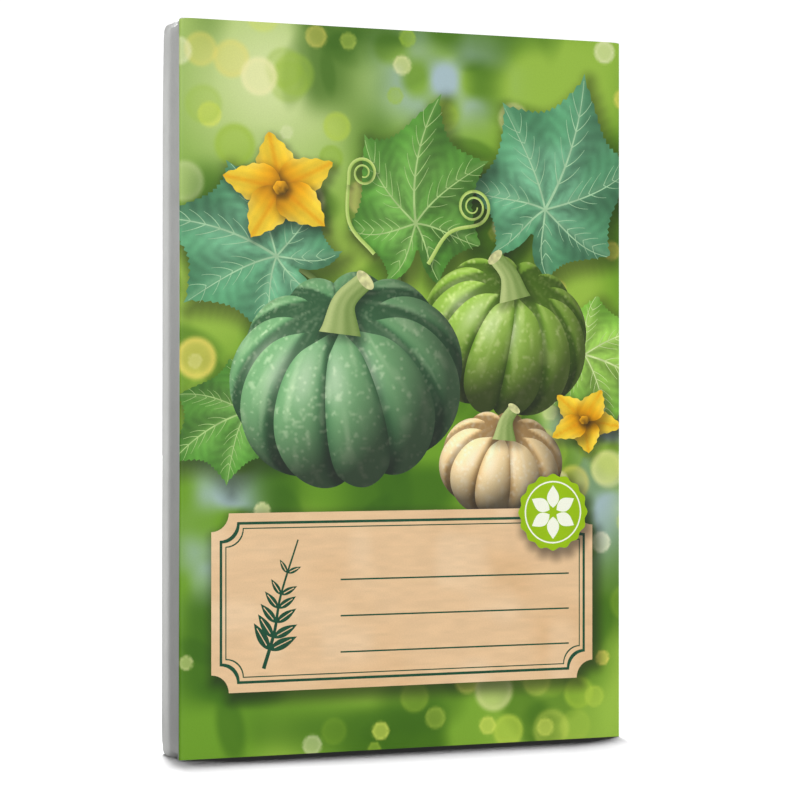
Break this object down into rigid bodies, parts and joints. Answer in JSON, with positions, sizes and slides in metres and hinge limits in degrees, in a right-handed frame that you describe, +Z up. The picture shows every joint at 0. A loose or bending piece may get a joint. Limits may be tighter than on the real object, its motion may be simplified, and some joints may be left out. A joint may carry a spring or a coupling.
{
  "type": "seed packet",
  "caption": "Slim upright seed packet folded from one sheet of coated board, printed on its front, with plain sides and back and loose flat seeds inside.",
  "frame": {"origin": "middle of the packet's outline where it stands: halfway across its width and its depth, at foot level", "axes": "+Z up along the height, +X to the right as one faces the printed front, +Y from the front to the back"},
  "size_m": [0.1064, 0.012, 0.16],
  "materials": {
    "board": "white coated folding boxboard, satin varnished print on the front",
    "glue": "dried dispersion glue",
    "seed_coat": "dry matt seed coat"
  },
  "bodies": {
    "root": {"packet_board": "board", "side_seam_glue": "glue", "top_flap_glue": "glue", "bottom_flap_glue": "glue", "seed_01": "seed_coat", "seed_02": "seed_coat", "seed_03": "seed_coat", "seed_04": "seed_coat", "seed_05": "seed_coat", "seed_06": "seed_coat", "seed_07": "seed_coat", "seed_08": "seed_coat", "seed_09": "seed_coat", "seed_10": "seed_coat"}
  },
  "joints": []
}
